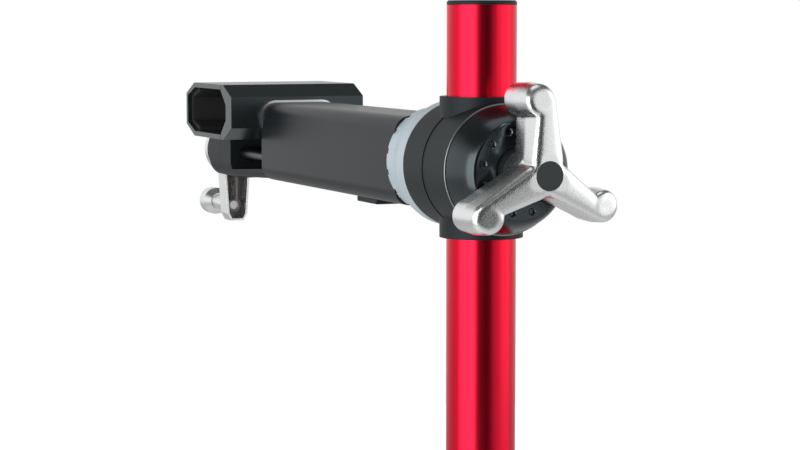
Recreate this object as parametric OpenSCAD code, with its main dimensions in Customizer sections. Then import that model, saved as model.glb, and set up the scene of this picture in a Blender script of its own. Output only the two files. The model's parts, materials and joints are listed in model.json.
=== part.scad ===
// Bicycle repair stand: a clamping arm that turns on a collar at the top of a red sliding upright,
// held in a lower mast with a bottom hub and three folding legs.
// Origin on the floor under the mast, +Z up, the arm reaches out along -X. Sizes in millimetres.

/* [Upright] */
// outside diameter of the red sliding upright
upright_d = 38.1; // [37:0.1:39]
// wall of the upright and of the lower mast
tube_wall = 2; // [1.6:0.1:2.6]
// height of the arm's turning axis above the floor
head_z = 1150; // [1080:5:1250]
// upright above the arm's axis
upright_top = 87.6; // [70:0.1:140]
// upright inside and above the lower mast, below the arm's axis
upright_tail = 560; // [480:5:600]
// thickness of the cap on the upright
cap_h = 2.5; // [1.5:0.1:5]

/* [Collar] */
// radius of the round collar housing
collar_r = 35.2; // [35:0.1:40]
// depth of the rear half shell
collar_rear = 26; // [24:0.1:32]
// depth of the front half shell
collar_front = 28.9; // [26:0.1:34]
// wall of the sleeve around the upright
sleeve_wall = 3.8; // [3:0.1:6]
// half height of the sleeve around the upright
sleeve_half = 38.3; // [37:0.1:50]
// radius of the shell screws
shell_screw_r = 2.5; // [2:0.1:3]

/* [Dome] */
// how far the domed cover stands out of the front shell
dome_len = 20; // [18:0.1:26]
// radius of the flat face of the dome
dome_face_r = 20; // [17:0.1:21]
// radius of the ring of round dimples
dimple_ring = 22.6; // [20:0.1:23.5]
// radius of one dimple
dimple_r = 2.1; // [1:0.1:2.5]
// number of dimples
dimple_n = 12; // [8:1:14]
// radius of the washer under the handle
washer_r = 13.4; // [11:0.1:15]
// thickness of the washer under the handle
washer_h = 3; // [1:0.1:4]

/* [Handle] */
// radius of the turning axle
axle_r = 6; // [5:0.1:7]
// distance from the axle to the middle of a lobe
lobe_reach = 38.9; // [32:0.1:44]
// radius of a lobe
lobe_r = 8.8; // [8:0.1:10.5]
// length of a lobe along the axle
lobe_len = 25; // [22:0.1:27]
// how far a lobe stands to one side of its spoke
lobe_offset = 1.5; // [0:0.1:3]
// rounding of the front edges of the lobes and spokes
handle_round = 3.6; // [3:0.1:4.6]
// draft of the casting to either side of its parting line
handle_draft = 0.7; // [0.3:0.1:1]
// radius of a spoke where it leaves the hub
spoke_root_r = 9.1; // [8:0.1:10.5]
// radius of a spoke where it meets its lobe
spoke_tip_r = 5.4; // [5:0.1:7]
// how far a spoke stands to the other side at the hub
spoke_offset = 0.2; // [0:0.1:2]
// length of the handle hub
handle_len = 31; // [27:0.1:36]
// radius of the handle hub
handle_hub_r = 10.6; // [10:0.1:12.5]
// radius of the plug in the handle hub
plug_r = 7.6; // [6:0.1:8.5]

/* [Arm] */
// outside width of the square arm tube
arm_w = 50.8; // [48:0.1:54]
// wall of the arm tube
arm_wall = 3; // [2:0.1:3.5]
// outside corner radius of the arm tube
arm_corner = 9.5; // [7:0.1:11]
// where the arm tube starts, from the upright's axis
arm_start = 61; // [58:0.1:66]
// length of the arm tube
arm_len = 223.7; // [180:0.1:300]
// radius of the castellated ring
castle_r = 30.5; // [28:0.1:33]
// number of notches in the castellated ring
castle_n = 16; // [8:1:20]

/* [Jaws] */
// half length of the jaws
jaw_half = 46.2; // [40:0.1:60]
// height of the jaws
jaw_h = 36.1; // [34:0.1:42]
// depth of the fixed jaw from the arm's end to its lips
fixed_depth = 21.3; // [19:0.1:25]
// depth of the V groove in the fixed jaw
groove_depth = 10; // [7:0.1:11]
// depth of the moving jaw from its lips to its back
moving_depth = 72.8; // [60:0.1:85]
// wall of the moving jaw
jaw_wall = 3.2; // [2.5:0.1:4]
// thickness of the rubber pads
pad_t = 3; // [2:0.1:4]
// bottom of the jaws above the arm's axis
jaw_z = 0.5; // [0:0.1:2]

/* [Screw drive] */
// radius of the clamp spindle
spindle_r = 5.5; // [4.5:0.1:6]
// spindle axis below the arm's axis
spindle_drop = 12.3; // [11.5:0.1:13]
// radius of a guide rod
rod_r = 4; // [3:0.1:4.2]
// guide rods either side of the spindle
rod_y = 15; // [14.5:0.1:15.4]
// length of the carriage under the moving jaw
carriage_len = 44.8; // [40:0.1:52]
// distance from the spindle to the knob's pin
crank_reach = 40; // [34:0.1:50]
// thickness of the crank lever
crank_t = 14.5; // [10:0.1:16]
// radius of the knob head
knob_r = 9.5; // [8:0.1:11]
// length of the knob
knob_len = 45; // [36:0.1:50]

/* [Button] */
// length of the release button along the arm
button_len = 31; // [24:0.1:46]
// width of the release button
button_w = 18; // [14:0.1:22]
// how far the button stands out under the arm
button_out = 4.8; // [2:0.1:5]

/* [Mast and clamp] */
// height of the top of the lower mast
mast_top = 902; // [840:1:930]
// height of the height clamp
clamp_h = 48; // [42:0.5:60]
// wall of the height clamp
clamp_wall = 7.5; // [6:0.1:10]
// length of the height lever
lever_len = 84; // [60:1:100]

/* [Base] */
// radius of the hub's sleeve
hub_r = 32; // [30:0.1:36]
// height of the hub's sleeve
hub_h = 87; // [76:0.5:110]
// thickness of the rubber mast foot
foot_h = 8; // [6:0.1:12]
// distance from the mast to a leg's hinge
hinge_out = 58; // [56:0.1:70]
// height of the leg hinges and of the legs
hinge_z = 45; // [44:0.1:52]
// outside radius of a leg tube
leg_r = 12.7; // [11.5:0.1:14]
// length of a leg tube
leg_len = 420; // [360:5:480]
// width of a leg's hinge end
leg_end_w = 26; // [24:0.1:30]
// thickness of a hub lug
lug_t = 6; // [5:0.1:8]
// radius of a leg's hinge bolt
bolt_r = 5; // [4:0.1:6]
// radius of a leg's lock knob
star_r = 20; // [16:0.1:24]

/* [Hidden] */
$fn = 64;
// running fit between a shaft and its hole, and the free gap between bodies
fit = 0.05;
gap = 0.3;
// overlap of cutters past a face
eps = 1;
upright_r = upright_d / 2;
sleeve_r = upright_r + sleeve_wall;
screw_y = collar_r - 11;
screw_z = 8;
dome_top = collar_front + dome_len;
dome_steps = 16;
handle_x = dome_top + washer_h;
handle_front = handle_x + handle_len;
plug_depth = 3.5;
round_steps = 6;
lobe_x = handle_x - 1;
spoke_lift = 10;
insert_r = axle_r + 4;
barrel_r = insert_r + 2.4;
spoke_round = handle_round - 1.2;
lobe_front = lobe_x + lobe_len;
axle_head_x = 38;
axle_head_h = 8;
flange_x = collar_rear + gap;
flange_in = arm_w - 2 * arm_wall - 0.1;
boss_r = flange_in / 2 - 0.3;
ring_x = flange_x + 22.7;
spigot_end = arm_start + 29;
flange_screw_x = arm_start + 15;
flange_screw_y = 11;
flange_screw_in = 16;
flange_head_r = 3.6;
flange_head_h = arm_wall - 1;
notch_w = 3;
notch_depth = 0.6;
notch_in = 5;
arm_end = arm_start + arm_len;
arm_in = arm_w / 2 - arm_wall;
block_len = 51;
trough_t = 2.8;
trough_h = 4.2;
rod_tail = 85;
spindle_tail = 80;
nut_floor = 1.1;
nut_r = arm_in - spindle_drop - nut_floor;
nut_len = 16;
lip_x = arm_end + fixed_depth;
moving_x = lip_x + 0.4;
moving_back = moving_x + moving_depth;
jaw_top = jaw_z + jaw_h;
slant_z = 7.6;
fixed_slant = 16.4;
moving_slant = 17.3;
jaw_screw_y = 17;
jaw_screw_in = 5.5;
carriage_end = moving_back + 13.3;
carriage_x = carriage_end - carriage_len;
split_x = carriage_x + 21.3;
rod_drop = spindle_drop - 0.9;
crank_in = carriage_end + 15;
crank_out = crank_in + crank_t;
crank_hub_r = 18.3;
boss_in = 7;
pin_r = 3;
knob_x = crank_out + 0.4;
button_x = 128;
slot_gap = 0.4;
spring_r = 5;
bracket_z = -8;
mast_r = upright_r + 1.175 + tube_wall;
mast_ir = mast_r - tube_wall;
upright_z0 = head_z - upright_tail;
clamp_r = mast_r + clamp_wall;
clamp_top = mast_top + 12;
clamp_z0 = clamp_top - clamp_h;
clamp_mid = clamp_z0 + clamp_h / 2;
ear_y = clamp_r + 8;
ear_t = 12;
ear_slot = 1.5;
cam_r = 9;
cam_w = 14;
pivot_x = ear_t + cam_r + gap;
lug_in = leg_end_w / 2 + gap;
lug_out = lug_in + lug_t;
lug_r = 25;
leg_eye_r = 20;
leg_start = hinge_out + 22;
leg_plug = 40;
leg_tip = leg_start + leg_len;
leg_in = leg_r - tube_wall;
star_in = lug_out + gap;
star_h = 20;
bush_len = 76;
foot_back = 34;
foot_front = 12;
fork_half = 3.4;
fork_drop = 13;
fork_cut = 40;

module xcyl(r, a0, a1) {
    translate([a0, 0, 0])
        rotate([0, 90, 0])
            cylinder(r = r, h = a1 - a0);
}

module ycyl(r, b0, b1) {
    translate([0, b0, 0])
        rotate([-90, 0, 0])
            cylinder(r = r, h = b1 - b0);
}

module along_x(a0, a1) {
    translate([a0, 0, 0])
        rotate([90, 0, 90])
            linear_extrude(a1 - a0)
                children();
}

module along_y(half) {
    translate([0, half, 0])
        rotate([90, 0, 0])
            linear_extrude(2 * half)
                children();
}

module rounded(w, r) {
    square([w, w - 2 * r], center = true);
    square([w - 2 * r, w], center = true);
    for (sx = [-1, 1], sy = [-1, 1])
        translate([sx * (w / 2 - r), sy * (w / 2 - r)])
            circle(r);
}

module head() {
    translate([0, 0, head_z])
        children();
}

module arm_side() {
    translate([0, 0, head_z])
        mirror([1, 0, 0])
            children();
}

module leg_at(i) {
    rotate([0, 0, 60 + 120 * i])
        translate([0, 0, hinge_z])
            children();
}

module upright_tube() {
    color("red")
        difference() {
            translate([0, 0, upright_z0])
                cylinder(r = upright_r, h = upright_tail + upright_top);
            translate([0, 0, upright_z0 - eps])
                cylinder(r = upright_r - tube_wall, h = upright_tail + upright_top + 2 * eps);
            head()
                xcyl(axle_r + 0.6, -upright_r - eps, upright_r + eps);
        }
}

module tube_cap() {
    color("black")
        head()
            translate([0, 0, upright_top]) {
                cylinder(r = upright_r - 0.6, h = cap_h);
                cylinder(r = upright_r, h = cap_h - 0.6);
                translate([0, 0, -10])
                    cylinder(r = upright_r - tube_wall - fit, h = 10 + cap_h);
            }
}

module shell_solid(a0, a1) {
    xcyl(collar_r, a0, a1);
    intersection() {
        translate([0, 0, -sleeve_half])
            cylinder(r = sleeve_r, h = 2 * sleeve_half);
        translate([a0, -collar_r, -sleeve_half])
            cube([a1 - a0, 2 * collar_r, 2 * sleeve_half]);
    }
}

module shell_holes(r, a0, a1) {
    for (sy = [-1, 1], sz = [-1, 1])
        translate([0, sy * screw_y, sz * screw_z])
            xcyl(r, a0, a1);
}

module collar_rear_shell() {
    color("#2b2f33")
        head()
            difference() {
                shell_solid(-collar_rear, 0);
                translate([0, 0, -sleeve_half - eps])
                    cylinder(r = upright_r + fit, h = 2 * sleeve_half + 2 * eps);
                xcyl(axle_r + fit, -collar_rear - eps, eps);
                shell_holes(shell_screw_r + fit, -collar_rear + 6, eps);
            }
}

module collar_front_shell() {
    color("#2b2f33")
        head()
            difference() {
                shell_solid(0, collar_front);
                translate([0, 0, -sleeve_half - eps])
                    cylinder(r = upright_r + fit, h = 2 * sleeve_half + 2 * eps);
                xcyl(axle_r + fit, -eps, collar_front + eps);
                shell_holes(shell_screw_r + fit, -eps, collar_front + eps);
            }
}

module shell_screws() {
    color("#a8a8a8")
        head() {
            shell_holes(shell_screw_r, -collar_rear + 8, collar_front);
            shell_holes(shell_screw_r + 1.8, collar_front, collar_front + 2.8);
        }
}

module dome_outline() {
    rim = collar_r - 0.3;
    polygon(concat([[0, 0], [rim - 1.3, 0], [rim - 1.3, 0.8]],
        [for (i = [0 : dome_steps])
            [dome_face_r + (rim - dome_face_r) * cos(90 * i / dome_steps),
                0.8 + (dome_len - 0.8) * sin(90 * i / dome_steps)]],
        [[0, dome_len]]));
}

module dome_cover() {
    color("#24282b")
        head()
            difference() {
                translate([collar_front, 0, 0])
                    rotate([0, 90, 0])
                        rotate_extrude()
                            dome_outline();
                xcyl(axle_r + 0.6, collar_front - eps, dome_top + eps);
                difference() {
                    xcyl(collar_r - 4.2, collar_front - eps, collar_front + 6);
                    xcyl(washer_r, collar_front - 2 * eps, collar_front + 7);
                }
                for (i = [0 : dimple_n - 1])
                    rotate([18 + i * 360 / dimple_n, 0, 0])
                        translate([0, 0, dimple_ring])
                            xcyl(dimple_r, dome_top - 1.6, dome_top + eps);
            }
}

module hub_washer() {
    color("#1d2022")
        head()
            difference() {
                xcyl(washer_r, dome_top, handle_x);
                xcyl(axle_r + 0.6, dome_top - eps, handle_x + eps);
            }
}

module pivot_axle() {
    color("#b0b4b8")
        head() {
            xcyl(axle_r, -axle_head_x, handle_front - 10);
            translate([-axle_head_x - axle_head_h, 0, 0])
                rotate([0, 90, 0])
                    cylinder(r = axle_r + 4.5, h = axle_head_h, $fn = 6);
        }
}

// cast peg along X, widest at its parting line, with a rounded front edge
module round_peg(r, a0, a1, edge) {
    len = a1 - a0;
    front_r = r - handle_draft;
    translate([a0, 0, 0])
        rotate([0, 90, 0])
            rotate_extrude()
                polygon(concat([[0, 0], [front_r, 0], [r, len / 2]],
                    [for (i = [0 : round_steps])
                        [front_r - edge * (1 - cos(90 * i / round_steps)),
                            len - edge * (1 - sin(90 * i / round_steps))]],
                    [[0, len]]));
}

module handle_spoke() {
    hull() {
        translate([0, spoke_offset, plug_r])
            round_peg(spoke_root_r, lobe_x + spoke_lift, handle_front, handle_round, $fn = 32);
        translate([0, lobe_r - lobe_offset - spoke_tip_r, lobe_reach - 1])
            round_peg(spoke_tip_r, lobe_x + 1, lobe_front, spoke_round, $fn = 32);
    }
}

module tri_handle() {
    color("#c9ccce")
        head()
            difference() {
                union() {
                    xcyl(barrel_r, handle_x + gap, lobe_front - 5);
                    round_peg(handle_hub_r, handle_x + gap, handle_front, handle_round / 2);
                    for (i = [0 : 2])
                        rotate([120 * i, 0, 0]) {
                            handle_spoke();
                            translate([0, -lobe_offset, lobe_reach])
                                round_peg(lobe_r, lobe_x, lobe_front, handle_round);
                        }
                }
                xcyl(insert_r, handle_x - eps, handle_front - 12);
                xcyl(axle_r + 0.6, handle_x, handle_front - plug_depth);
                xcyl(plug_r + fit, handle_front - plug_depth, handle_front + eps);
            }
}

module handle_insert() {
    color("#b08d48")
        head()
            difference() {
                xcyl(insert_r, handle_x + gap, handle_front - 12);
                xcyl(axle_r + fit, handle_x - eps, handle_front);
            }
}

module handle_cap() {
    color("#2a2d30")
        head()
            xcyl(plug_r, handle_front - plug_depth, handle_front + 0.3);
}

module arm_flange() {
    color("#c3ccd2")
        arm_side()
            difference() {
                union() {
                    xcyl(collar_r, flange_x, flange_x + 9.7);
                    translate([flange_x + 9.7, 0, 0])
                        rotate([0, 90, 0])
                            cylinder(r1 = collar_r - 0.6, r2 = castle_r + 0.8, h = ring_x - flange_x - 9.7);
                    xcyl(boss_r, ring_x - eps, arm_start + eps);
                    along_x(arm_start, spigot_end)
                        rounded(flange_in, arm_corner - arm_wall);
                }
                xcyl(axle_r + fit, flange_x - eps, spigot_end + eps);
                xcyl(axle_r + 7, axle_head_x, spigot_end + eps);
                for (sy = [-1, 1])
                    translate([flange_screw_x, sy * flange_screw_y, -arm_w / 2])
                        cylinder(r = 2 + fit, h = flange_screw_in + 2);
            }
}

module castle_ring() {
    color("#c8d0d6")
        arm_side()
            difference() {
                xcyl(castle_r, ring_x, arm_start);
                xcyl(boss_r + fit, ring_x - eps, arm_start + eps);
                for (i = [0 : castle_n - 1])
                    rotate([(i + 0.5) * 360 / castle_n, 0, 0])
                        translate([ring_x + notch_in, -notch_w / 2, castle_r - notch_depth])
                            cube([arm_start - ring_x, notch_w, notch_depth + eps]);
            }
}

module flange_screws() {
    color("#a8a8a8")
        arm_side()
            for (sy = [-1, 1])
                translate([flange_screw_x, sy * flange_screw_y, 0]) {
                    translate([0, 0, -arm_w / 2])
                        cylinder(r = 2, h = flange_screw_in);
                    translate([0, 0, -arm_w / 2])
                        cylinder(r = flange_head_r, h = flange_head_h);
                }
}

module arm_tube() {
    color("#34393d")
        arm_side()
            difference() {
                along_x(arm_start, arm_end)
                    rounded(arm_w, arm_corner);
                along_x(arm_start - eps, arm_end + eps)
                    rounded(arm_w - 2 * arm_wall, arm_corner - arm_wall);
                translate([button_x - slot_gap, -button_w / 2 - slot_gap, -arm_w / 2 - eps])
                    cube([button_len + 2 * slot_gap, button_w + 2 * slot_gap, arm_wall + 2 * eps]);
                for (sy = [-1, 1])
                    translate([flange_screw_x, sy * flange_screw_y, -arm_w / 2 - eps]) {
                        cylinder(r = 2 + fit, h = arm_wall + 2 * eps);
                        cylinder(r = flange_head_r + fit, h = flange_head_h + eps);
                    }
            }
}

module drive_holes(rs, rr, a0, a1) {
    translate([0, 0, -spindle_drop])
        xcyl(rs, a0, a1);
    for (sy = [-1, 1])
        translate([0, sy * rod_y, -rod_drop])
            xcyl(rr, a0, a1);
}

module guide_block() {
    trough_end = carriage_x - 0.7;
    color("#1f2326")
        arm_side()
            difference() {
                union() {
                    along_x(arm_end - block_len, arm_end)
                        rounded(2 * arm_in - 0.1, arm_corner - arm_wall);
                    along_x(arm_end - eps, trough_end)
                        difference() {
                            rounded(2 * arm_in - 0.1, arm_corner - arm_wall);
                            rounded(2 * arm_in - 2 * trough_t, arm_corner - arm_wall - trough_t);
                            translate([-arm_w, -arm_in + trough_h])
                                square([2 * arm_w, arm_w]);
                        }
                }
                drive_holes(spindle_r + 0.6, rod_r + fit, arm_end - block_len - eps, arm_end + eps);
                translate([0, 0, -spindle_drop])
                    xcyl(nut_r + fit, arm_end - nut_len, arm_end + eps);
                for (sy = [-1, 1])
                    translate([0, sy * 16, 16])
                        xcyl(2 + fit, arm_end - 20, arm_end + eps);
            }
}

module spindle_nut() {
    color("#b08d48")
        arm_side()
            translate([0, 0, -spindle_drop])
                difference() {
                    xcyl(nut_r, arm_end - nut_len, arm_end);
                    xcyl(spindle_r + fit, arm_end - nut_len - eps, arm_end + eps);
                }
}

module fixed_jaw() {
    mid = jaw_z + jaw_h / 2;
    color("#25292c")
        arm_side()
            difference() {
                along_y(jaw_half)
                    polygon([[arm_end, jaw_z + slant_z + 0.6], [arm_end, jaw_top - slant_z],
                        [arm_end + fixed_slant, jaw_top], [lip_x, jaw_top],
                        [lip_x, jaw_top - 4], [lip_x - groove_depth, mid + 5],
                        [lip_x - groove_depth, mid - 5], [lip_x, jaw_z + 4],
                        [lip_x, jaw_z], [arm_end + fixed_slant, jaw_z]]);
                for (sy = [-1, 1])
                    translate([0, sy * 16, 16]) {
                        xcyl(2 + fit, arm_end - eps, lip_x + eps);
                        xcyl(4, lip_x - groove_depth - 3.2, lip_x + eps);
                    }
            }
}

module fixed_jaw_pad() {
    mid = jaw_z + jaw_h / 2;
    color("#17191b")
        arm_side()
            along_y(jaw_half - 3)
                polygon([[lip_x - 1, jaw_top - 4 - 1.1], [lip_x - groove_depth, mid + 5],
                    [lip_x - groove_depth, mid - 5], [lip_x - 1, jaw_z + 4 + 1.1],
                    [lip_x - 1, jaw_z + 4 + 1.1 + pad_t], [lip_x - groove_depth + pad_t, mid - 4],
                    [lip_x - groove_depth + pad_t, mid + 4], [lip_x - 1, jaw_top - 5.1 - pad_t]]);
}

module jaw_screws() {
    color("#a8a8a8")
        arm_side()
            for (sy = [-1, 1])
                translate([0, sy * 16, 16]) {
                    xcyl(2, arm_end - 18, lip_x - groove_depth - 3.2);
                    xcyl(3.8, lip_x - groove_depth - 3.2, lip_x - groove_depth - 0.4);
                }
}

module jaw_outline(t) {
    s = t * 0.42;
    polygon([[moving_x - (t > 0 ? eps : 0), jaw_z + t], [moving_back - moving_slant - s, jaw_z + t],
        [moving_back - t, jaw_z + slant_z + s], [moving_back - t, jaw_top - slant_z - s],
        [moving_back - moving_slant - s, jaw_top - t], [moving_x - (t > 0 ? eps : 0), jaw_top - t]]);
}

module moving_jaw() {
    color("#25292c")
        arm_side()
            difference() {
                along_y(jaw_half)
                    difference() {
                        jaw_outline(0);
                        jaw_outline(jaw_wall);
                    }
                for (sy = [-1, 1])
                    translate([carriage_x + 5, sy * jaw_screw_y, jaw_z - eps])
                        cylinder(r = 2 + fit, h = jaw_wall + 2 * eps);
            }
}

module moving_jaw_pad() {
    color("#17191b")
        arm_side()
            along_y(jaw_half - 3)
                difference() {
                    jaw_outline(jaw_wall);
                    jaw_outline(jaw_wall + pad_t);
                    translate([moving_x - 3 * eps, jaw_z])
                        square([moving_depth - moving_slant, jaw_h]);
                }
}

module carriage_slice(a0, a1) {
    along_x(a0, a1)
        intersection() {
            rounded(arm_w, arm_corner);
            translate([-arm_w, -arm_w + jaw_z])
                square([2 * arm_w, arm_w]);
        }
}

module jaw_carriage() {
    color("#2b3034")
        arm_side()
            difference() {
                carriage_slice(carriage_x, split_x);
                drive_holes(spindle_r + fit, rod_r + fit, carriage_x - eps, split_x + eps);
                for (sy = [-1, 1])
                    translate([carriage_x + 5, sy * jaw_screw_y, -jaw_screw_in - 0.5])
                        cylinder(r = 2 + fit, h = jaw_screw_in + jaw_z + eps);
            }
}

module carriage_cover() {
    color("#2b3034")
        arm_side()
            difference() {
                carriage_slice(split_x, carriage_end);
                translate([0, 0, -spindle_drop])
                    xcyl(spindle_r + fit, split_x - eps, carriage_end + eps);
            }
}

module carriage_screws() {
    color("#a8a8a8")
        arm_side()
            for (sy = [-1, 1])
                translate([carriage_x + 5, sy * jaw_screw_y, 0]) {
                    translate([0, 0, -jaw_screw_in])
                        cylinder(r = 2, h = jaw_z + jaw_wall + jaw_screw_in);
                    translate([0, 0, jaw_z + jaw_wall])
                        cylinder(r = 3.6, h = 2.2);
                }
}

module guide_rods() {
    color("#8d9296")
        arm_side()
            for (sy = [-1, 1])
                translate([0, sy * rod_y, -rod_drop])
                    xcyl(rod_r, arm_end - rod_tail, split_x);
}

module clamp_spindle() {
    color("#8d9296")
        arm_side()
            translate([0, 0, -spindle_drop]) {
                xcyl(spindle_r, arm_end - spindle_tail, crank_in + 4);
                xcyl(spindle_r + 3, carriage_end + gap, crank_in - 6);
            }
}

module crank_outline(inset) {
    polygon([[-10.5 + inset, -inset], [10.5 - inset, -inset], [7.4 - inset, -crank_reach - 5.5],
        [4.6 - inset / 2, -crank_reach - 10.5 + inset], [-4.6 + inset / 2, -crank_reach - 10.5 + inset],
        [-7.4 + inset, -crank_reach - 5.5]]);
}

module crank_lever() {
    floor_t = 3;
    color("#c9ccce")
        arm_side()
            translate([0, 0, -spindle_drop])
                difference() {
                    union() {
                        difference() {
                            along_x(crank_in, crank_out)
                                crank_outline(0);
                            along_x(crank_in - eps, crank_out - floor_t)
                                crank_outline(1.5);
                        }
                        translate([crank_in + 1.5, -0.6, -crank_reach])
                            cube([crank_t - 1.5, 1.2, crank_reach]);
                        xcyl(crank_hub_r - 4, crank_in - 6, crank_out + 3);
                        xcyl(crank_hub_r, crank_out - floor_t, crank_out + 3);
                        translate([0, 0, -crank_reach])
                            xcyl(pin_r + 1.8, crank_in + boss_in, crank_out);
                    }
                    xcyl(spindle_r + fit, crank_in - 6 - eps, crank_in + 4);
                    translate([0, 0, -crank_reach])
                        xcyl(pin_r + fit, crank_in - eps, crank_out + eps);
                }
}

module crank_cover() {
    cap_len = 9;
    color("#c9ccce")
        arm_side()
            translate([crank_out + 3, 0, -spindle_drop])
                rotate([0, 90, 0])
                    rotate_extrude()
                        polygon(concat([[0, 0]],
                            [for (i = [0 : dome_steps])
                                [(crank_hub_r - 0.4) * cos(90 * i / dome_steps),
                                    cap_len * sin(90 * i / dome_steps)]]));
}

module knob_pin() {
    color("#a8a8a8")
        arm_side()
            translate([0, 0, -spindle_drop - crank_reach]) {
                xcyl(pin_r, crank_in + boss_in + 1, knob_x + knob_len - 4);
                xcyl(pin_r + 1.6, knob_x + knob_len - 4, knob_x + knob_len - 2);
            }
}

module crank_knob() {
    color("#c9ccce")
        arm_side()
            translate([knob_x, 0, -spindle_drop - crank_reach])
                rotate([0, 90, 0])
                    difference() {
                        union() {
                            cylinder(r = knob_r - 4, h = knob_len - 15);
                            translate([0, 0, knob_len - 19])
                                cylinder(r1 = knob_r - 3.4, r2 = knob_r, h = 6);
                            translate([0, 0, knob_len - 13])
                                cylinder(r = knob_r, h = 10);
                            translate([0, 0, knob_len - 3])
                                cylinder(r1 = knob_r, r2 = knob_r - 1.5, h = 3);
                        }
                        translate([0, 0, -eps])
                            cylinder(r = pin_r + fit, h = knob_len + 2 * eps);
                        translate([0, 0, knob_len - 4 - gap])
                            cylinder(r = pin_r + 2, h = 6);
                    }
}

module release_button() {
    color("#1f2326")
        arm_side() {
            translate([button_x, -button_w / 2, -arm_w / 2 - button_out])
                cube([button_len, button_w, button_out + arm_wall + 3]);
            translate([button_x - 3, -button_w / 2 - 2, -arm_in + 0.1])
                cube([button_len + 6, button_w + 4, 2.9]);
        }
}

module button_spring() {
    color("#9aa0a4")
        arm_side()
            translate([button_x + button_len / 2, 0, -arm_in + 3])
                difference() {
                    cylinder(r = spring_r, h = arm_in - 3 + bracket_z);
                    translate([0, 0, -eps])
                        cylinder(r = spring_r - 1.4, h = arm_in + eps);
                }
}

module button_bracket() {
    color("#9aa0a4")
        arm_side()
            translate([button_x + button_len / 2 - 10, -arm_in, bracket_z])
                cube([20, 2 * arm_in, 2]);
}

module mast_bush() {
    color("#d8d8d2")
        difference() {
            translate([0, 0, upright_z0 - 6])
                cylinder(r = mast_ir - fit, h = bush_len);
            translate([0, 0, upright_z0 - 0.1])
                cylinder(r = upright_r + fit, h = bush_len);
            translate([0, 0, upright_z0 - 7])
                cylinder(r = 12, h = 10);
        }
}

module lower_mast_tube() {
    color("#2b2f33")
        difference() {
            translate([0, 0, foot_h + 6])
                cylinder(r = mast_r, h = mast_top - foot_h - 6);
            translate([0, 0, foot_h + 6 - eps])
                cylinder(r = mast_ir, h = mast_top - foot_h - 6 + 2 * eps);
        }
}

module height_clamp() {
    color("#24282b")
        difference() {
            union() {
                translate([0, 0, clamp_z0])
                    cylinder(r = clamp_r, h = clamp_h);
                translate([-ear_t, -ear_y - 9, clamp_z0 + 6])
                    cube([2 * ear_t, ear_y + 9, clamp_h - 12]);
            }
            translate([0, 0, clamp_z0 - eps])
                cylinder(r = mast_r + fit, h = mast_top - clamp_z0 + eps);
            translate([0, 0, mast_top - eps])
                cylinder(r = upright_r + fit, h = clamp_top - mast_top + 2 * eps);
            translate([-ear_slot, -ear_y - 10, clamp_z0 - eps])
                cube([2 * ear_slot, ear_y + 10 - mast_r + 4, clamp_h + 2 * eps]);
            translate([0, -ear_y, clamp_mid])
                xcyl(3 + fit, -ear_t - eps, ear_t + eps);
        }
}

module height_clamp_bolt() {
    color("#a8a8a8")
        translate([0, -ear_y, clamp_mid]) {
            xcyl(3, -ear_t, pivot_x);
            translate([-ear_t - 5, 0, 0])
                rotate([0, 90, 0])
                    cylinder(r = 5.6, h = 5, $fn = 6);
            translate([pivot_x, 0, 0])
                ycyl(2.5, -cam_w / 2, cam_w / 2);
        }
}

module height_lever() {
    color("#1f2326")
        translate([pivot_x, -ear_y, clamp_mid])
            difference() {
                union() {
                    ycyl(cam_r, -cam_w / 2, cam_w / 2);
                    translate([-2, -cam_w / 2, -lever_len])
                        cube([8, cam_w, lever_len]);
                }
                ycyl(2.5 + fit, -cam_w, cam_w);
                translate([-fork_cut / 2, -fork_half, -fork_drop])
                    cube([fork_cut, 2 * fork_half, fork_cut]);
            }
}

module bottom_hub() {
    color("#2b2f33")
        difference() {
            union() {
                translate([0, 0, foot_h])
                    cylinder(r = hub_r, h = hub_h);
                for (i = [0 : 2], s = [-1, 1])
                    leg_at(i) {
                        translate([hub_r - 12, s * (lug_in + lug_t / 2) - lug_t / 2, -lug_r])
                            cube([hinge_out - hub_r + 12, lug_t, 2 * lug_r]);
                        translate([hinge_out, 0, 0])
                            ycyl(lug_r, s * (lug_in + lug_t / 2) - lug_t / 2,
                                s * (lug_in + lug_t / 2) + lug_t / 2);
                    }
            }
            translate([0, 0, foot_h + 6])
                cylinder(r = mast_r + fit, h = hub_h);
            translate([0, 0, foot_h - eps])
                cylinder(r = 8, h = 12);
            for (i = [0 : 2])
                leg_at(i)
                    translate([hinge_out, 0, 0])
                        ycyl(bolt_r + fit, -lug_out - eps, lug_out + eps);
        }
}

module mast_foot() {
    color("#17191b")
        union() {
            cylinder(r = hub_r + 3, h = foot_h);
            cylinder(r = 8 - fit, h = foot_h + 5);
        }
}

module leg_bolts() {
    color("#a8a8a8")
        for (i = [0 : 2])
            leg_at(i)
                translate([hinge_out, 0, 0]) {
                    ycyl(bolt_r, -lug_out, star_in + 14);
                    translate([0, -lug_out, 0])
                        rotate([90, 0, 0])
                            cylinder(r = bolt_r + 3.5, h = 6, $fn = 6);
                }
}

module leg_end(i) {
    color("#24282b")
        leg_at(i)
            difference() {
                union() {
                    translate([hinge_out, 0, 0])
                        ycyl(leg_eye_r, -leg_end_w / 2, leg_end_w / 2);
                    xcyl(leg_r, hinge_out, leg_start);
                    xcyl(leg_in - fit, hinge_out, leg_start + leg_plug);
                }
                translate([hinge_out, 0, 0])
                    ycyl(bolt_r + fit, -leg_end_w, leg_end_w);
            }
}

module leg_tube(i) {
    color("#3a3f43")
        leg_at(i)
            difference() {
                xcyl(leg_r, leg_start, leg_tip);
                xcyl(leg_in, leg_start - eps, leg_tip + eps);
            }
}

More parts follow.
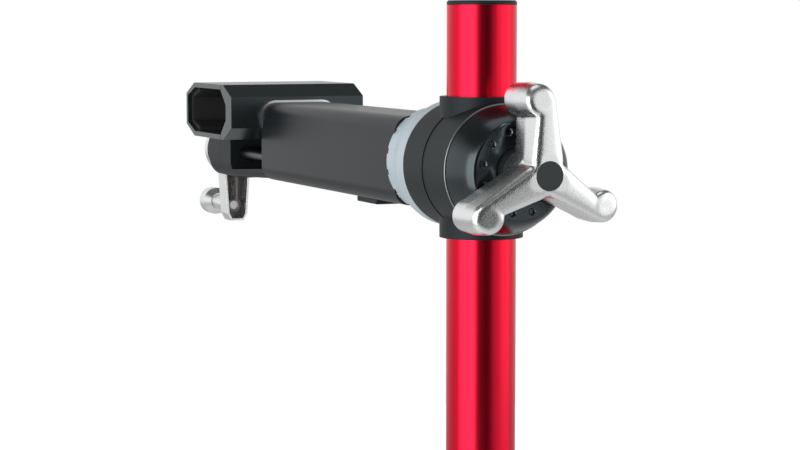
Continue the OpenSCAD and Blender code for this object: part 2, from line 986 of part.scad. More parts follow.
module leg_foot(i) {
    color("#17191b")
        leg_at(i)
            difference() {
                union() {
                    xcyl(leg_r + 5, leg_tip - foot_back, leg_tip + foot_front);
                    translate([leg_tip - foot_back, -leg_r - 5, -hinge_z])
                        cube([foot_back + foot_front, 2 * leg_r + 10, hinge_z]);
                }
                xcyl(leg_r + fit, leg_tip - foot_back - eps, leg_tip);
            }
}

module leg_knob(i) {
    color("#1f2326")
        leg_at(i)
            translate([hinge_out, 0, 0])
                difference() {
                    ycyl(star_r, star_in, star_in + star_h);
                    for (k = [0 : 4])
                        rotate([0, 72 * k, 0])
                            translate([star_r + 5, 0, 0])
                                ycyl(9, star_in + 5, star_in + star_h + eps);
                    ycyl(bolt_r + fit, star_in - eps, star_in + 15);
                }
}

upright_tube();
tube_cap();
collar_rear_shell();
collar_front_shell();
shell_screws();
dome_cover();
hub_washer();
pivot_axle();
tri_handle();
handle_insert();
handle_cap();
arm_flange();
castle_ring();
flange_screws();
arm_tube();
guide_block();
spindle_nut();
fixed_jaw();
fixed_jaw_pad();
jaw_screws();
moving_jaw();
moving_jaw_pad();
jaw_carriage();
carriage_cover();
carriage_screws();
guide_rods();
clamp_spindle();
crank_lever();
crank_cover();
knob_pin();
crank_knob();
release_button();
button_spring();
button_bracket();
mast_bush();
lower_mast_tube();
height_clamp();
height_clamp_bolt();
height_lever();
bottom_hub();
mast_foot();
leg_bolts();
leg_end(0);  // leg_end_1
leg_end(1);  // leg_end_2
leg_end(2);  // leg_end_3
leg_tube(0);  // leg_tube_1
leg_tube(1);  // leg_tube_2
leg_tube(2);  // leg_tube_3
leg_foot(0);  // leg_foot_1
leg_foot(1);  // leg_foot_2
leg_foot(2);  // leg_foot_3
leg_knob(0);  // leg_knob_1
leg_knob(1);  // leg_knob_2
leg_knob(2);  // leg_knob_3
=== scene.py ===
# %% [markdown]
# # A bicycle repair stand, dressed in Blender
# The stand has a red upright, a turning head with a lobed lock handle, a square arm and a pair of
# padded jaws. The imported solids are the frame: every piece here goes where a solid already is, so
# most sizes and places are read from it.

import json
import math

import bmesh
import bpy
from mathutils import Matrix, Vector


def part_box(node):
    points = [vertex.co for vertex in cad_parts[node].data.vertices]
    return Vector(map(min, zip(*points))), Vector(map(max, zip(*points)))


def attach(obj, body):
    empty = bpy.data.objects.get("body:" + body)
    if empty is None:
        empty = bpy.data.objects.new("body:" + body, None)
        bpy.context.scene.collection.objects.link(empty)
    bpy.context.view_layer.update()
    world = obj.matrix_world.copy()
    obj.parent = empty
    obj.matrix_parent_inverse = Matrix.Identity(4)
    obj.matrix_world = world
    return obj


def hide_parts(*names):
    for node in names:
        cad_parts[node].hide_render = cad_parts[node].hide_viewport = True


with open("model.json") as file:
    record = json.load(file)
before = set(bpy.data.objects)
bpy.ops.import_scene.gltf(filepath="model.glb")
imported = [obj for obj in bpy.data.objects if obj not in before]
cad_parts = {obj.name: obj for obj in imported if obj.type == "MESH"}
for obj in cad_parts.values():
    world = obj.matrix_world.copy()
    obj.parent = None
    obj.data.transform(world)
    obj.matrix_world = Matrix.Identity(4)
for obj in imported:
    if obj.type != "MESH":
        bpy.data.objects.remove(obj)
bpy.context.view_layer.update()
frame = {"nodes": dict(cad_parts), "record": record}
nodes = frame["nodes"]
record = frame["record"]
BODY_OF = {
    node: body for body, members in record["behaviour"]["bodies"].items() for node in members
}
SLOT_OF = {part["node"]: part["material_slot"] for part in record["subparts"]}
MM = 0.001

# %% [markdown]
# ## Shader maths as plain expressions
# A finish is easier to read as `grain * 0.2 + 0.4` than as a list of nodes and links. One small
# class wraps a socket: its operators add Math nodes, `ramp` maps one range to another, `node` adds
# any other node, and `feed` links the result to a shader. A number such as `i6` names a socket by
# its place, where several have the same name.


# %% A socket that does arithmetic
class Sock:
    def __init__(self, tree, out=None):
        self.tree = tree
        self.out = out

    def node(self, kind, settings=None, output=0, **inputs):
        new = self.tree.nodes.new(kind)
        for key, value in (settings or {}).items():
            setattr(new, key, value)
        for name, value in inputs.items():
            numbered = name[0] == "i" and name[1:].isdigit()
            socket = new.inputs[int(name[1:]) if numbered else name.replace("_", " ")]
            if isinstance(value, Sock):
                self.tree.links.new(value.out, socket)
            else:
                socket.default_value = value
        return Sock(self.tree, new.outputs[output])

    def feed(self, shader, name):
        self.tree.links.new(self.out, shader.inputs[name])

    def ramp(self, low, high, at_low, at_high):
        return self.node(
            "ShaderNodeMapRange",
            Value=self,
            From_Min=low,
            From_Max=high,
            To_Min=at_low,
            To_Max=at_high,
        )

    def math(self, operation, other, swap=False):
        first, second = (other, self) if swap else (self, other)
        return self.node("ShaderNodeMath", {"operation": operation}, i0=first, i1=second)

    def __add__(self, other):
        return self.math("ADD", other)

    def __radd__(self, other):
        return self.math("ADD", other, True)

    def __sub__(self, other):
        return self.math("SUBTRACT", other)

    def __rsub__(self, other):
        return self.math("SUBTRACT", other, True)

    def __mul__(self, other):
        return self.math("MULTIPLY", other)

    def __rmul__(self, other):
        return self.math("MULTIPLY", other, True)


# %% [markdown]
# ## Finishes
# The finishes are few: red anodised tube, black moulded plastic, black coated tube, cast silver,
# pale zinc, bare steel, brass and rubber. Each could be a flat colour, but then a cast face would
# look like a moulded one. So each is one principled shader with its constants set on its own
# sockets, and a fine noise on Object coordinates moves the colour, the roughness and a weak bump.

# %% One maker for every finish
GRAIN_DETAIL, GRAIN_DEEP = 3.0, 0.1 * MM


def finish(
    name,
    colour,
    rough,
    metal=0.0,
    grain=900.0,
    stretch=(1, 1, 1),
    bump=0.0,
    vary=0.06,
    **constants,
):
    mat = bpy.data.materials.new(name)
    mat.use_nodes = True
    tree = mat.node_tree
    shader = tree.nodes["Principled BSDF"]
    shader.inputs["Metallic"].default_value = metal
    for key, value in constants.items():
        shader.inputs[key.replace("_", " ")].default_value = value
    place = Sock(tree).node("ShaderNodeTexCoord", output="Object")
    place = place.node("ShaderNodeMapping", Vector=place, Scale=stretch)
    noise = place.node("ShaderNodeTexNoise", Vector=place, Scale=grain, Detail=GRAIN_DETAIL)
    ((noise - 0.5) * vary + rough).feed(shader, "Roughness")
    # The colour sockets of a Mix node are its inputs 6 and 7 and its output 2.
    tint = noise.node(
        "ShaderNodeMix",
        {"data_type": "RGBA"},
        output=2,
        Factor=noise,
        i6=(*[c * (1 - vary) for c in colour], 1),
        i7=(*[c * (1 + vary) for c in colour], 1),
    )
    tint.feed(shader, "Base Color")
    if bump:
        tilt = noise.node("ShaderNodeBump", Height=noise, Strength=bump, Distance=GRAIN_DEEP)
        tilt.feed(shader, "Normal")
    return mat


# %% Plastics, coatings and rubber
COOL = (0.78, 0.94, 1.0, 1)
BLACK = (0.010, 0.0125, 0.014)
LOOKS = {
    "black_plastic": dict(
        colour=BLACK,
        rough=0.5,
        bump=0.2,
        vary=0.12,
        Specular_IOR_Level=0.3,
        Specular_Tint=COOL,
    ),
    "jaw_nylon": dict(
        colour=(0.011, 0.0145, 0.0155),
        rough=0.25,
        grain=1300.0,
        bump=0.08,
        Specular_IOR_Level=0.8,
        Specular_Tint=COOL,
    ),
    "plug_grey": dict(colour=(0.028, 0.036, 0.037), rough=0.5, Specular_IOR_Level=0.4),
    "dome_satin": dict(
        colour=(0.004, 0.0045, 0.005),
        rough=0.22,
        grain=1500.0,
        bump=0.04,
        Specular_IOR_Level=0.95,
        Specular_Tint=COOL,
    ),
    "arm_coat": dict(
        colour=BLACK,
        rough=0.32,
        grain=1600.0,
        bump=0.04,
        Specular_IOR_Level=0.2,
        Specular_Tint=COOL,
    ),
    "mast_coat": dict(
        colour=(0.014, 0.016, 0.018),
        rough=0.36,
        grain=1200.0,
        bump=0.12,
        Specular_IOR_Level=0.4,
        Specular_Tint=COOL,
    ),
    # Near black and matt: paints the shade in the groove between the collar's shells.
    "painted_seam_shade": dict(colour=(0.003, 0.003, 0.003), rough=0.9, Specular_IOR_Level=0.05),
    "rubber": dict(colour=(0.012, 0.0125, 0.013), rough=0.7, grain=700.0, bump=0.5, vary=0.15),
    "bush_plastic": dict(colour=(0.7, 0.7, 0.66), rough=0.5),
}
print("plastics, coatings and rubber:", ", ".join(LOOKS))

# %% Metals, and a finish for each solid
DRAWN_UP, DRAWN_ALONG = (1, 1, 0.02), (0.05, 1, 1)
METALS = {
    "red_anodised": dict(
        colour=(0.76, 0.011, 0.038),
        rough=0.3,
        grain=700.0,
        stretch=DRAWN_UP,
        Coat_Weight=0.04,
        Coat_Roughness=0.25,
    ),
    "cast_silver": dict(colour=(0.86, 0.875, 0.88), rough=0.27, grain=1400.0, bump=0.45),
    # A darker silver that paints the shade of the crank's recess.
    "painted_recess_shade": dict(colour=(0.2, 0.195, 0.185), rough=0.45, grain=1500.0, bump=0.4),
    "zinc_ring": dict(colour=(0.56, 0.65, 0.7), rough=0.5, metal=0.5, bump=0.3, vary=0.1),
    "bare_edge": dict(colour=(0.95, 0.96, 0.965), rough=0.3, vary=0.03),
    # A grey metal brighter than the black rim it lies on: it paints the glint at the dome's seam.
    "painted_glint_bead": dict(colour=(0.3, 0.32, 0.33), rough=0.3, metal=0.9),
    "steel": dict(colour=(0.6, 0.61, 0.62), rough=0.28, grain=1200.0, stretch=DRAWN_ALONG),
    "dark_steel": dict(
        colour=(0.1, 0.11, 0.115), rough=0.32, grain=1200.0, stretch=DRAWN_ALONG
    ),
    "brass": dict(colour=(0.62, 0.45, 0.2), rough=0.3),
}
LOOKS.update({name: {"metal": 1.0, **look} for name, look in METALS.items()})
FINISHES = {name: finish(name, **look) for name, look in LOOKS.items()}
OWN_FINISH = {
    "dome_cover": "dome_satin",
    "fixed_jaw": "jaw_nylon",
    "moving_jaw": "jaw_nylon",
    "handle_cap": "plug_grey",
}
for name, slot in SLOT_OF.items():
    materials = nodes[name].data.materials
    materials.clear()
    materials.append(FINISHES[OWN_FINISH.get(name, slot)])
print("metals:", ", ".join(METALS))

# %% [markdown]
# ## Softened edges
# A moulded or cast piece has no knife edges: each edge is a small round that catches the light. A
# Bevel modifier could make it, but a solid from the frame is loose triangles. So a copy is merged,
# its flat faces are joined again, and only its sharp edges are bevelled. The copy is shown in the
# solid's place, and the solids that have no copy are shaded smooth up to their creases.

# %% Bevelled copies of the solids
WELD, FLAT = 0.002 * MM, math.radians(0.6)
SOFT_STEPS, SOFT_LEAST = 2, math.radians(18)


def copy_of(name):
    bm = bmesh.new()
    bm.from_mesh(nodes[name].data)
    bmesh.ops.remove_doubles(bm, verts=bm.verts, dist=WELD)
    bmesh.ops.dissolve_limit(bm, angle_limit=FLAT, verts=bm.verts, edges=bm.edges)
    return bm


def to_object(bm, name):
    mesh = bpy.data.meshes.new(name)
    bm.to_mesh(mesh)
    bm.free()
    obj = bpy.data.objects.new(name, mesh)
    bpy.context.scene.collection.objects.link(obj)
    return obj


def shade(mesh, crease):
    mesh.shade_smooth()
    mesh.set_sharp_from_angle(angle=math.radians(crease))


def add_piece(bm, piece, body, slot, crease=40, look=None):
    obj = to_object(bm, piece)
    obj.data.materials.append(FINISHES[look or slot])
    shade(obj.data, crease)
    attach(obj, body)
    return obj


def soften(name, width):
    bm = copy_of(name)
    bmesh.ops.bevel(
        bm,
        geom=[e for e in bm.edges if e.is_manifold and e.calc_face_angle(0) > SOFT_LEAST],
        offset=width,
        segments=SOFT_STEPS,
        profile=0.5,
        affect="EDGES",
        material=-1,
        clamp_overlap=True,
    )
    look = OWN_FINISH.get(name)
    obj = add_piece(bm, name + "_soft", BODY_OF[name], SLOT_OF[name], look=look)
    obj.modifiers.new("crisp", "WEIGHTED_NORMAL").keep_sharp = True
    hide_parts(name)
    return obj


# %% The width of each round, in millimetres
LEGS = (1, 2, 3)
SOLID_CREASE = 30
SOFT = {
    "tube_cap": 0.4,
    "arm_tube": 1.1,
    "collar_rear_shell": 0.8,
    "collar_front_shell": 0.8,
    "handle_cap": 0.4,
    "arm_flange": 0.4,
    "castle_ring": 0.4,
    "fixed_jaw": 0.6,
    "moving_jaw": 0.6,
    "jaw_carriage": 0.8,
    "carriage_cover": 1.2,
    "crank_lever": 0.8,
    "release_button": 0.7,
    "height_clamp": 0.8,
    "height_lever": 1.5,
    **{f"leg_foot_{i}": 2.5 for i in LEGS},
    **{f"leg_knob_{i}": 1.0 for i in LEGS},
    **{f"leg_end_{i}": 0.8 for i in LEGS},
    "bottom_hub": 0.8,
    "mast_foot": 1.5,
}
soft = {name: soften(name, width * MM) for name, width in SOFT.items()}
for name, node in nodes.items():
    if name not in SOFT:
        shade(node.data, SOLID_CREASE)
print("softened:", len(soft))

# %% [markdown]
# ## The recess of the crank
# The crank is a casting with a raised rim: the rim is polished bright, and the floor between its ribs
# lies in shade, which is painted here. A dark plate could lie on the floor, but its faces are there
# already. So the faces that look out of the recess take a second, darker finish: painted shade.

# %% Paint shade on the crank's floor
RIM_DEEP, LEVER_FOOT, FACING = 1.2 * MM, 25 * MM, 0.8
crank = soft["crank_lever"].data
crank.materials.append(FINISHES["painted_recess_shade"])
foot_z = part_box("crank_lever")[0].z + LEVER_FOOT
outward = [f for f in crank.polygons if f.normal.x > FACING]
rim_x = max(f.center.x for f in outward if f.center.z < foot_z) - RIM_DEEP
# These floor faces take the painted shade of the recess.
floor_faces = [f for f in outward if f.center.x < rim_x]
for face in floor_faces:
    face.material_index = 1
print("crank floor faces:", len(floor_faces))

# %% [markdown]
# ## The trough under the jaws
# Beyond the end of the arm, the guide block goes on as an open trough as wide as the arm itself, and
# the carriage that faces it hangs a little lower. Both could be modelled afresh, but only their
# sizes differ from the solids. So the copies are drawn out: the trough from the bore's size to
# nearly the tube's, and the lower part of the carriage and its cover downwards.

# %% Widen the trough and lower the carriage
TROUGH_GROW, TROUGH_DEEP, PAST_END = 1.11, 1.22, 0.3 * MM
CARRIAGE_DROP, DROP_FROM = 2.8 * MM, 0.6
tube_low, tube_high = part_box("arm_tube")
tube_mid = (tube_low.z + tube_high.z) / 2
bm = copy_of("guide_block")
outside = [v for v in bm.verts if v.co.x < tube_low.x - PAST_END]
bmesh.ops.scale(
    bm,
    vec=(1, TROUGH_GROW, TROUGH_DEEP),
    verts=outside,
    space=Matrix.Translation((0, 0, -tube_mid)),
)
trough = add_piece(bm, "guide_trough", "arm", "black_plastic")
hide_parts("guide_block")
for name in ["jaw_carriage", "carriage_cover"]:
    points = soft[name].data.vertices
    depth = tube_mid - min(v.co.z for v in points)
    for vert in points:
        share = (tube_mid - vert.co.z) / depth
        vert.co.z -= CARRIAGE_DROP * max(0, share - DROP_FROM) / (1 - DROP_FROM)
print("trough points moved:", len(outside))

# %% [markdown]
# ## The cast lock handle
# The handle is one casting: a hub, three tapering spokes and three lobes, and the front of each arm
# curves gently away from the plug. It could be carved from one block, but it is easier to turn a
# few round pegs, shear their fronts to the curve, and hull two pegs into a spoke. A voxel
# remesh then melts them into one skin, smoothing gives the rounds of a mould, and the bores are cut
# last so that their edges stay crisp.

# %% Turned shapes round the axle
ROUND_STEPS, PEG_STEPS, SPIN_WELD = 96, 48, 0.001 * MM
axle_low, axle_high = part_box("pivot_axle")
head_z = (axle_low.z + axle_high.z) / 2


def spin_closed(bm, steps, height=0.0):
    bmesh.ops.spin(
        bm,
        geom=bm.verts[:] + bm.edges[:],
        cent=(0, 0, height),
        axis=(1, 0, 0),
        angle=2 * math.pi,
        steps=steps,
        use_merge=True,
    )
    bmesh.ops.remove_doubles(bm, verts=bm.verts, dist=SPIN_WELD)
    bmesh.ops.recalc_face_normals(bm, faces=bm.faces)


def turned(profile, steps=PEG_STEPS):
    bm = bmesh.new()
    points = [bm.verts.new((along, 0, radius)) for along, radius in profile]
    for first, second in zip(points, points[1:]):
        bm.edges.new((first, second))
    spin_closed(bm, steps)
    return bm


def lift_to_axle(bm):
    bmesh.ops.translate(bm, verts=bm.verts, vec=(0, 0, head_z))


print("the axle lies at a height of", round(head_z, 4), "m")

# %% Pegs with a front that follows the curve
HANDLE_LONG, PLUG_PROUD = 32 * MM, 0.3 * MM
# The front is flat round the plug, and its slope grows evenly with the reach.
LOBE_REACH, FLAT_REACH, LOBE_SLOPE = 38.6 * MM, 8.0 * MM, 0.19
CURVE = LOBE_SLOPE / LOBE_REACH
# A peg narrows by DRAFT towards both ends, and the round of its edge is wider than deep.
DRAFT, FLARE, FLARE_MOST, EDGE_STEPS = 0.7 * MM, 1.3, 0.9, 8
plug_low, plug_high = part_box("handle_cap")
PLUG_R = (plug_high.y - plug_low.y) / 2
FRONT = plug_high.x - PLUG_PROUD
BACK = FRONT - HANDLE_LONG


def peg(radius, back, reach, side, edge):
    slope = CURVE * reach
    front = FRONT - CURVE / 2 * max(0, reach**2 - FLAT_REACH**2)
    middle = (back + front) / 2
    narrow = radius - DRAFT
    across = min(edge * FLARE, narrow * FLARE_MOST)
    turns = [math.pi / 2 * i / EDGE_STEPS for i in range(EDGE_STEPS + 1)]
    rim = [
        (front - edge * (1 - math.sin(t)), narrow - across * (1 - math.cos(t))) for t in turns
    ]
    bm = turned([(back, 0), (back, narrow), (middle, radius), *rim, (front, 0)])
    for vert in bm.verts:
        share = (vert.co.x - middle) / (front - edge - middle)
        vert.co.x -= slope * vert.co.z * min(1, max(0, share))
    bmesh.ops.translate(bm, verts=bm.verts, vec=(0, side, reach))
    return bm


print("slope at the lobes:", round(math.degrees(math.atan(LOBE_SLOPE)), 1), "degrees")


# %% Hull two pegs, and gather turned copies
def hull_of(pegs):
    bm = bmesh.new()
    for part in pegs:
        for vert in part.verts:
            bm.verts.new(vert.co)
    bmesh.ops.convex_hull(bm, input=bm.verts)
    bmesh.ops.delete(bm, geom=[v for v in bm.verts if not v.link_faces], context="VERTS")
    bmesh.ops.recalc_face_normals(bm, faces=bm.faces)
    return bm


def gather(whole, part, turn):
    held = bpy.data.meshes.new("held")
    part.to_mesh(held)
    count = len(whole.verts)
    whole.from_mesh(held)
    bpy.data.meshes.remove(held)
    whole.verts.ensure_lookup_table()
    fresh = whole.verts[count:]
    bmesh.ops.rotate(whole, verts=fresh, cent=(0, 0, 0), matrix=Matrix.Rotation(turn, 3, "X"))


# %% Make the arms and melt them
EDGE = 3.6 * MM
LOBE_R, LOBE_SIDE, LOBE_EDGE = 9.3 * MM, -1.5 * MM, EDGE * 0.85
ROOT_R, ROOT_SIDE, ROOT_BACK = 9.8 * MM, 0.2 * MM, BACK + 10 * MM
TIP_R, TIP_REACH, TIP_EDGE = 5.8 * MM, 37.9 * MM, EDGE * 0.7
HUB_R, HUB_BACK, HUB_EDGE = 10.6 * MM, BACK + MM, EDGE / 2
BARREL_R, BARREL_FRONT = 12.4 * MM, FRONT - 12 * MM
# The handle was left standing a degree or two round.
ARMS, STAND_TURN = 3, 1.6
VOXEL, EASE, EASE_ROUNDS = 0.6 * MM, 0.5, 10
lobe = peg(LOBE_R, BACK, LOBE_REACH, LOBE_SIDE, LOBE_EDGE)
root = peg(ROOT_R, ROOT_BACK, PLUG_R, ROOT_SIDE, EDGE)
tip = peg(TIP_R, HUB_BACK, TIP_REACH, LOBE_R + LOBE_SIDE - TIP_R, TIP_EDGE)
spoke = hull_of([root, tip])
hub = peg(HUB_R, HUB_BACK, 0, 0, HUB_EDGE)
barrel = turned(
    [(HUB_BACK, 0), (HUB_BACK, BARREL_R), (BARREL_FRONT, BARREL_R), (BARREL_FRONT, 0)]
)
whole = bmesh.new()
for i in range(ARMS):
    turn = math.radians(360 / ARMS * i + STAND_TURN)
    gather(whole, lobe, turn)
    gather(whole, spoke, turn)
gather(whole, hub, 0)
gather(whole, barrel, 0)
lift_to_axle(whole)
handle = add_piece(whole, "lock_handle", "handle", "cast_silver")
melt = handle.modifiers.new("melt", "REMESH")
melt.mode = "VOXEL"
melt.voxel_size = VOXEL
ease = handle.modifiers.new("ease", "SMOOTH")
ease.factor = EASE
ease.iterations = EASE_ROUNDS
print("handle faces before the melt:", len(handle.data.polygons))

# %% Cut the bores
AXLE_BORE, INSERT_R, INSERT_DEEP = 6.6 * MM, 10.05 * MM, 12 * MM
PLUG_DEEP, PLUG_FIT, OVER, BORE_CREASE = 3.5 * MM, 0.15 * MM, MM, 50
bore = turned(
    [
        (BACK - OVER, 0),
        (BACK - OVER, INSERT_R),
        (FRONT - INSERT_DEEP, INSERT_R),
        (FRONT - INSERT_DEEP, AXLE_BORE),
        (FRONT - PLUG_DEEP, AXLE_BORE),
        (FRONT - PLUG_DEEP, PLUG_R + PLUG_FIT),
        (FRONT + OVER, PLUG_R + PLUG_FIT),
        (FRONT + OVER, 0),
    ]
)
lift_to_axle(bore)


def cut_away(obj, bm, crease):
    cutter = to_object(bm, "cutter")
    drill = obj.modifiers.new("drill", "BOOLEAN")
    drill.operation = "DIFFERENCE"
    drill.solver = "EXACT"
    drill.object = cutter
    look = obj.data.materials[0]
    shown = obj.evaluated_get(bpy.context.evaluated_depsgraph_get())
    obj.data = bpy.data.meshes.new_from_object(shown)
    obj.modifiers.clear()
    bpy.data.objects.remove(cutter)
    obj.data.materials.clear()
    obj.data.materials.append(look)
    shade(obj.data, crease)


cut_away(handle, bore, BORE_CREASE)
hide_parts("tri_handle")
print("handle faces:", len(handle.data.polygons))

# %% [markdown]
# ## The domed cover
# The cover is a moulding with a round shoulder and a flat face. Its solid could be bevelled too, but
# the shoulder would keep its facets. So it is turned like the pegs: a parabola from the rim up to
# the edge of the face, a wall's thickness behind it, and the axle's hole in the middle. Twelve round
# dimples with a small chamfer are cut round the face, near its edge.

# %% Turn the dome
dome_low, dome_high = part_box("dome_cover")
RIM_R, FACE_R, DOME_WALL, DOME_STEPS = dome_high.y, 25.6 * MM, 2.5 * MM, 32
dome_long = dome_high.x - dome_low.x
shares = [1 - i / DOME_STEPS for i in range(DOME_STEPS + 1)]
outer = [(dome_high.x - dome_long * s**2, FACE_R + (RIM_R - FACE_R) * s) for s in shares]
inner = [(max(x - DOME_WALL, dome_low.x), r - DOME_WALL) for x, r in reversed(outer)]
hole = [(dome_high.x, AXLE_BORE), (dome_high.x - DOME_WALL, AXLE_BORE)]
bm = turned([*outer, *hole, *inner, outer[0]], steps=ROUND_STEPS)
lift_to_axle(bm)
look = OWN_FINISH["dome_cover"]
dome = add_piece(bm, "turned_dome", BODY_OF["dome_cover"], SLOT_OF["dome_cover"], look=look)
print("dome radius:", round(RIM_R, 4), "length:", round(dome_long, 4))

# %% Cut its dimples
DIMPLES, DIMPLE_RING, DIMPLE_START, DOME_CREASE = 12, 22.2 * MM, 18, 25
DIMPLE_R, DIMPLE_MOUTH, DIMPLE_DEEP, DIMPLE_CHAMFER = 1.6 * MM, 2.2 * MM, 1.6 * MM, 0.5 * MM
dimple = turned(
    [
        (-DIMPLE_DEEP, 0),
        (-DIMPLE_DEEP, DIMPLE_R),
        (-DIMPLE_CHAMFER, DIMPLE_R),
        (0, DIMPLE_MOUTH),
        (OVER, DIMPLE_MOUTH),
        (OVER, 0),
    ]
)
bmesh.ops.translate(dimple, verts=dimple.verts, vec=(dome_high.x, 0, DIMPLE_RING))
dimples = bmesh.new()
for i in range(DIMPLES):
    gather(dimples, dimple, math.radians(DIMPLE_START + 360 * i / DIMPLES))
lift_to_axle(dimples)
cut_away(dome, dimples, DOME_CREASE)
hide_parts("dome_cover")
print("dome faces:", len(dome.data.polygons))

# %% [markdown]
# ## The seams of the collar
# The collar is two shells and a domed cover. The seam at the dome shows as one thin glint, and the
# seam between the shells as a thin dark line, the shade in its groove. Each could be cut as a groove,
# but a line so thin needs only a small round bead that lies in the seam: a circle drawn in the plane
# of the axle, spun once round it. A grey metal bead paints the glint, and a black one paints the
# shade.

# %% Spin the beads
BEAD_SIDES = 10
GLINT_OUT, GLINT_OVER, GLINT_R = 0.35 * MM, 0.1 * MM, 0.5 * MM
SEAM_RING, SEAM_R = 35.2 * MM, 0.35 * MM


def spin_bead(name, along, ring, thick, look):
    bm = bmesh.new()
    made = bmesh.ops.create_circle(bm, segments=BEAD_SIDES, radius=thick)["verts"]
    bmesh.ops.translate(bm, verts=made, vec=(along, ring, head_z))
    spin_closed(bm, ROUND_STEPS, head_z)
    add_piece(bm, name, BODY_OF["dome_cover"], "black_plastic", look=look)
    print(name, "at", round(along, 4), "radius", round(ring, 4))


rear_low, rear_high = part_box("collar_rear_shell")
glint_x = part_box("collar_front_shell")[1].x + GLINT_OUT
# A grey metal bead paints the glint at the dome's rim.
spin_bead("dome_bead", glint_x, RIM_R + GLINT_OVER, GLINT_R, "painted_glint_bead")
# A black bead paints the shade in the seam between the shells.
spin_bead("shell_seam", rear_high.x, SEAM_RING, SEAM_R, "painted_seam_shade")

# %% [markdown]
# ## The bright lip at the end of the arm
# Where the fixed jaw meets the arm, the end of the tube is milled bare and stands a little proud of
# its coating, over the top and round both upper corners. It could be a bright finish on the tube's
# end, but a lip with thickness catches the light from all sides. So a small bar is extruded along
# the top, spun round a corner, drawn down the side to nothing, and mirrored.

# %% Extrude, spin and mirror the lip
ARM_CORNER, CORNER_STEPS = 9.5 * MM, 12
LIP_PROUD, LIP_SUNK, LIP_LONG, LIP_DOWN = 1.3 * MM, 0.4 * MM, 2.4 * MM, 7 * MM
LIP_THIN, LIP_WELD, LIP_CREASE = 0.05 * MM, 0.01 * MM, 50
arm_half = (tube_high.y - tube_low.y) / 2
run = arm_half - ARM_CORNER
section = [(0, -LIP_SUNK), (LIP_LONG, -LIP_SUNK), (LIP_LONG, LIP_PROUD), (0, LIP_PROUD)]
bm = bmesh.new()
corners = [
    bm.verts.new((tube_low.x + along, 0, tube_mid + arm_half + out)) for along, out in section
]


def extrude_end(face, shift):
    grown = bmesh.ops.extrude_face_region(bm, geom=[face])["geom"]
    bmesh.ops.delete(bm, geom=[face], context="FACES_ONLY")
    fresh = next(g for g in grown if isinstance(g, bmesh.types.BMFace))
    bmesh.ops.translate(bm, verts=fresh.verts, vec=shift)
    return fresh


end = extrude_end(bm.faces.new(corners), (0, -run, 0))
spun = bmesh.ops.spin(
    bm,
    geom=[end, *end.edges, *end.verts],
    cent=(tube_low.x, -run, tube_mid + run),
    axis=(1, 0, 0),
    angle=math.radians(90),
    steps=CORNER_STEPS,
    use_merge=False,
)["geom_last"]
end = next(g for g in spun if isinstance(g, bmesh.types.BMFace))
end = extrude_end(end, (0, 0, -LIP_DOWN))
for vert in end.verts:
    vert.co.y = max(vert.co.y, tube_low.y - LIP_THIN)
half = bm.verts[:] + bm.edges[:] + bm.faces[:]
bmesh.ops.mirror(bm, geom=half, axis="Y", merge_dist=LIP_WELD)
bmesh.ops.remove_doubles(bm, verts=bm.verts, dist=LIP_WELD)
bmesh.ops.recalc_face_normals(bm, faces=bm.faces)
lip = add_piece(bm, "arm_end_lip", "arm", "steel", crease=LIP_CREASE, look="bare_edge")
print("lip points:", len(lip.data.vertices))

# %% [markdown]
# ## Floor and room
# The stand is shown as in a catalogue, white all round. A plain floor could be made so large that
# its edge is out of sight, but from low down it would still end in a grey line. So what the camera
# sees of this one glows more the farther it is from the stand, until it is as white as the room. The
# shine of the pieces shows another room: pale walls, a dark ceiling and a grey ground.

# %% A floor that fades into white
FLOOR_R, FLOOR_GLOW, GLOW_FROM, GLOW_TO = 6.0, 0.3, 0.5, 2.0
HEAD = Vector((0, 0, (rear_low.z + rear_high.z) / 2))
bm = bmesh.new()
bmesh.ops.create_circle(bm, cap_ends=True, segments=ROUND_STEPS, radius=FLOOR_R)
floor = to_object(bm, "floor")
pale = finish("floor_pale", colour=(0.86, 0.86, 0.86), rough=0.8)
floor.data.materials.append(pale)
start = Sock(pale.node_tree)
seen = start.node("ShaderNodeLightPath", output="Is Camera Ray")
spot = start.node("ShaderNodeTexCoord", output="Object")
away = spot.node("ShaderNodeVectorMath", {"operation": "LENGTH"}, output="Value", Vector=spot)
pale_shader = pale.node_tree.nodes["Principled BSDF"]
pale_shader.inputs["Emission Strength"].default_value = 1
(seen * away.ramp(GLOW_FROM, GLOW_TO, FLOOR_GLOW, 1.0)).feed(pale_shader, "Emission Color")
print("floor radius", FLOOR_R, "m")

# %% A white room
WALL, CEILING, GROUND, ROOM = 0.88, 0.1, 0.45, 0.5
WALL_TOP, CEILING_FROM, GROUND_TO, WALL_FOOT = 0.36, 0.62, -0.35, -0.05
world = bpy.data.worlds.new("white_room")
bpy.context.scene.world = world
world.use_nodes = True
background = world.node_tree.nodes["Background"]
background.inputs["Color"].default_value = (1, 1, 1, 1)
start = Sock(world.node_tree)
to_camera, in_gloss, in_glass = [
    start.node("ShaderNodeLightPath", output=f"Is {ray} Ray")
    for ray in ("Camera", "Glossy", "Transmission")
]
in_shine = in_gloss.math("MAXIMUM", in_glass)
way = start.node("ShaderNodeTexCoord", output="Generated")
height = way.node("ShaderNodeSeparateXYZ", output="Z", Vector=way)
walls = height.ramp(WALL_TOP, CEILING_FROM, WALL, CEILING)
walls = walls * height.ramp(GROUND_TO, WALL_FOOT, GROUND, 1)
light = in_shine * walls + (1 - in_shine) * ROOM
(to_camera + (1 - to_camera) * light).feed(background, "Strength")
print("walls", WALL, "ceiling", CEILING, "ground", GROUND)

# %% [markdown]
# ## Camera
# A camera could be placed by eye, but the stand's own edges in the picture give its place: about
# 1.3 metres from the head, a little above it, with a long lens.

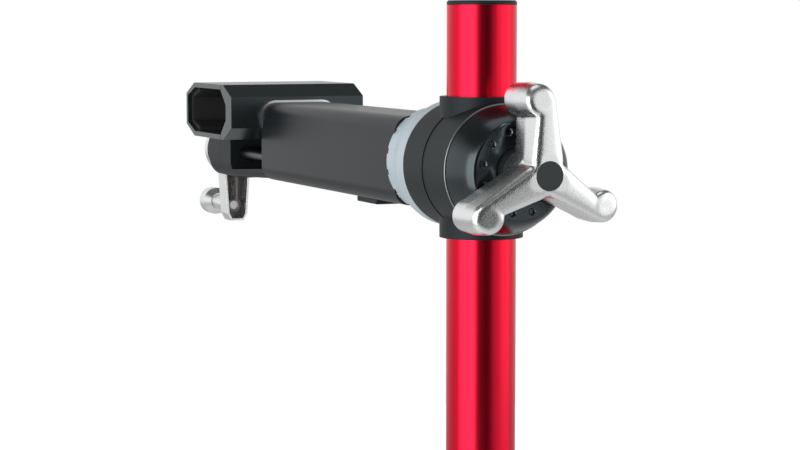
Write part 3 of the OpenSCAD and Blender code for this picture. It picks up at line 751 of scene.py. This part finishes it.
# %% Camera from the photograph
CAM_AT = Vector((1.1378, -0.5318, 0.0820)) + HEAD
CAM_AIM = Vector((-0.9203, 0.3912, 0.0))
CAM_DOWN = math.radians(5.19)
LENS, SENSOR, NEAREST = 103.9, 36, 0.05
camera = bpy.data.objects.new("camera", bpy.data.cameras.new("camera"))
bpy.context.scene.collection.objects.link(camera)
camera.data.sensor_width = SENSOR
camera.data.lens = LENS
camera.data.clip_start = NEAREST
camera.location = CAM_AT
aim = CAM_AIM.normalized() * math.cos(CAM_DOWN) - Vector((0, 0, math.sin(CAM_DOWN)))
camera.rotation_euler = aim.to_track_quat("-Z", "Y").to_euler()
bpy.context.scene.camera = camera
bpy.context.scene.view_settings.view_transform = "Standard"
print("camera at", tuple(round(v, 3) for v in CAM_AT))

# %% [markdown]
# ## Lights and a dark card
# Soft boxes draw the broad highlights. The dark band along the middle of the round metal could be
# painted, but on the real tube it is a mirror image of the dark part of a studio. So a dark card
# stands behind the camera, where only the shine of the pieces shows it.

# %% Soft lights
SIDE = Vector((CAM_AIM.y, -CAM_AIM.x, 0)).normalized()
TOWARDS = -CAM_AIM.normalized()
UP = Vector((0, 0, 1))


def around(angle, far, up=0.0):
    turn = math.radians(angle)
    return HEAD + (TOWARDS * math.cos(turn) + SIDE * math.sin(turn)) * far + UP * up


def soft_light(name, at, size, watts):
    lamp = bpy.data.lights.new(name, "AREA")
    lamp.shape = "RECTANGLE"
    lamp.size, lamp.size_y = size
    lamp.energy = watts
    obj = bpy.data.objects.new(name, lamp)
    bpy.context.scene.collection.objects.link(obj)
    obj.location = at
    obj.rotation_euler = (HEAD - at).to_track_quat("-Z", "Y").to_euler()


soft_light("left_box", around(angle=-50, far=1.6), size=(1.5, 1.6), watts=15)
soft_light("left_strip", around(angle=-28, far=1.7), size=(0.2, 1.8), watts=3)
soft_light("right_box", around(angle=85, far=1.5, up=0.3), size=(1.2, 1.6), watts=5)
soft_light("top_box", around(angle=0, far=0, up=1.3), size=(1.2, 0.8), watts=2.5)
print("lights:", len(bpy.data.lights))

# %% The dark card
CARD_W, CARD_H, CARD_FAR, CARD_TURN = 1.8, 1.8, 1.8, 8.5
bm = bmesh.new()
# A grid's size is half its side, so this one is a metre square before it is scaled.
bmesh.ops.create_grid(bm, x_segments=1, y_segments=1, size=0.5)
bmesh.ops.scale(bm, vec=(CARD_W, CARD_H, 1), verts=bm.verts)
card = to_object(bm, "dark_card")
card.location = around(CARD_TURN, CARD_FAR)
card.rotation_euler = (HEAD - card.location).to_track_quat("Z", "Y").to_euler()
card.data.materials.append(finish("card_black", colour=(0.01, 0.01, 0.01), rough=0.9))
card.visible_camera = False
card.visible_shadow = False
card.visible_diffuse = False
print("card", CARD_W, "by", CARD_H, "m")
